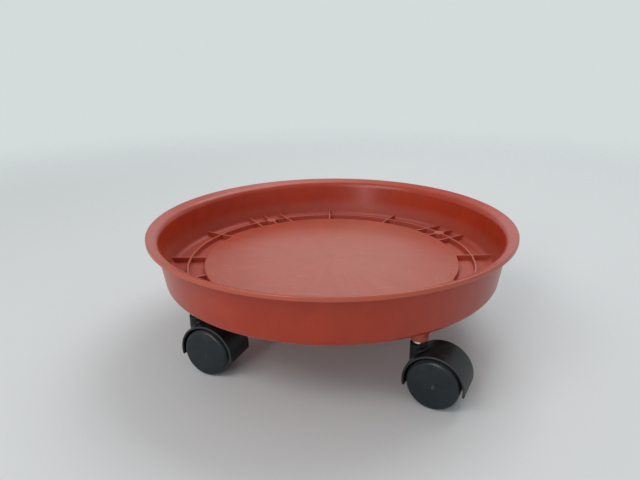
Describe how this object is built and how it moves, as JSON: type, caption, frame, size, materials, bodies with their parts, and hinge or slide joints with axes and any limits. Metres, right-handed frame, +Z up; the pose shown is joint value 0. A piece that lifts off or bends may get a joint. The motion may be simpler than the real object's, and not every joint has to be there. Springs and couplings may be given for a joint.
{
  "type": "plant caddy",
  "caption": "Round moulded plant caddy: a shallow saucer with flared lip, raised platform and ribbed moat, on hooded twin-wheel swivel casters.",
  "frame": {"origin": "on the floor under the middle of the saucer, the bottom centre of the bounding box", "axes": "+Z up along the saucer's axis; the casters stand on the diagonals of X and Y, and the picture looks from about -Y, 15 degrees towards +X"},
  "size_m": [0.4, 0.4, 0.1321],
  "materials": {
    "terracotta_plastic": "satin moulded polypropylene",
    "hood_nylon": "satin moulded nylon",
    "wheel_plastic": "satin moulded nylon",
    "plated_steel": "bright nickel plate",
    "spring_steel": "plain spring steel",
    "axle_steel": "drawn steel"
  },
  "bodies": {
    "saucer": {"saucer": "terracotta_plastic", "rear_right_stem": "plated_steel", "rear_right_grip_ring": "spring_steel", "rear_right_stem_clip": "spring_steel", "rear_left_stem": "plated_steel", "rear_left_grip_ring": "spring_steel", "rear_left_stem_clip": "spring_steel", "front_left_stem": "plated_steel", "front_left_grip_ring": "spring_steel", "front_left_stem_clip": "spring_steel", "front_right_stem": "plated_steel", "front_right_grip_ring": "spring_steel", "front_right_stem_clip": "spring_steel"},
    "rear_right_swivel": {"rear_right_hood": "hood_nylon", "rear_right_axle": "axle_steel"},
    "rear_right_left_wheel": {"rear_right_left_wheel": "wheel_plastic"},
    "rear_right_right_wheel": {"rear_right_right_wheel": "wheel_plastic"},
    "rear_left_swivel": {"rear_left_hood": "hood_nylon", "rear_left_axle": "axle_steel"},
    "rear_left_left_wheel": {"rear_left_left_wheel": "wheel_plastic"},
    "rear_left_right_wheel": {"rear_left_right_wheel": "wheel_plastic"},
    "front_left_swivel": {"front_left_hood": "hood_nylon", "front_left_axle": "axle_steel"},
    "front_left_left_wheel": {"front_left_left_wheel": "wheel_plastic"},
    "front_left_right_wheel": {"front_left_right_wheel": "wheel_plastic"},
    "front_right_swivel": {"front_right_hood": "hood_nylon", "front_right_axle": "axle_steel"},
    "front_right_left_wheel": {"front_right_left_wheel": "wheel_plastic"},
    "front_right_right_wheel": {"front_right_right_wheel": "wheel_plastic"}
  },
  "joints": [
    {"name": "rear_right_swivel", "type": "hinge", "parent": "saucer", "child": "rear_right_swivel", "pos_m": [0.11314, 0.11314, 0.057], "axis": [0, 0, 1], "continuous": true},
    {"name": "rear_right_left_wheel_spin", "type": "hinge", "parent": "rear_right_swivel", "child": "rear_right_left_wheel", "pos_m": [0.13215, 0.11046, 0.025], "axis": [-0.1392, -0.9903, 0], "continuous": true},
    {"name": "rear_right_right_wheel_spin", "type": "hinge", "parent": "rear_right_swivel", "child": "rear_right_right_wheel", "pos_m": [0.13215, 0.11046, 0.025], "axis": [-0.1392, -0.9903, 0], "continuous": true},
    {"name": "rear_left_swivel", "type": "hinge", "parent": "saucer", "child": "rear_left_swivel", "pos_m": [-0.11314, 0.11314, 0.057], "axis": [0, 0, 1], "continuous": true},
    {"name": "rear_left_left_wheel_spin", "type": "hinge", "parent": "rear_left_swivel", "child": "rear_left_left_wheel", "pos_m": [-0.09439, 0.10898, 0.025], "axis": [-0.2164, -0.9763, 0], "continuous": true},
    {"name": "rear_left_right_wheel_spin", "type": "hinge", "parent": "rear_left_swivel", "child": "rear_left_right_wheel", "pos_m": [-0.09439, 0.10898, 0.025], "axis": [-0.2164, -0.9763, 0], "continuous": true},
    {"name": "front_left_swivel", "type": "hinge", "parent": "saucer", "child": "front_left_swivel", "pos_m": [-0.11314, -0.11314, 0.057], "axis": [0, 0, 1], "continuous": true},
    {"name": "front_left_left_wheel_spin", "type": "hinge", "parent": "front_left_swivel", "child": "front_left_left_wheel", "pos_m": [-0.09415, -0.11597, 0.025], "axis": [-0.1478, -0.989, 0], "continuous": true},
    {"name": "front_left_right_wheel_spin", "type": "hinge", "parent": "front_left_swivel", "child": "front_left_right_wheel", "pos_m": [-0.09415, -0.11597, 0.025], "axis": [-0.1478, -0.989, 0], "continuous": true},
    {"name": "front_right_swivel", "type": "hinge", "parent": "saucer", "child": "front_right_swivel", "pos_m": [0.11314, -0.11314, 0.057], "axis": [0, 0, 1], "continuous": true},
    {"name": "front_right_left_wheel_spin", "type": "hinge", "parent": "front_right_swivel", "child": "front_right_left_wheel", "pos_m": [0.13194, -0.11703, 0.025], "axis": [-0.2028, -0.9792, 0], "continuous": true},
    {"name": "front_right_right_wheel_spin", "type": "hinge", "parent": "front_right_swivel", "child": "front_right_right_wheel", "pos_m": [0.13194, -0.11703, 0.025], "axis": [-0.2028, -0.9792, 0], "continuous": true}
  ]
}
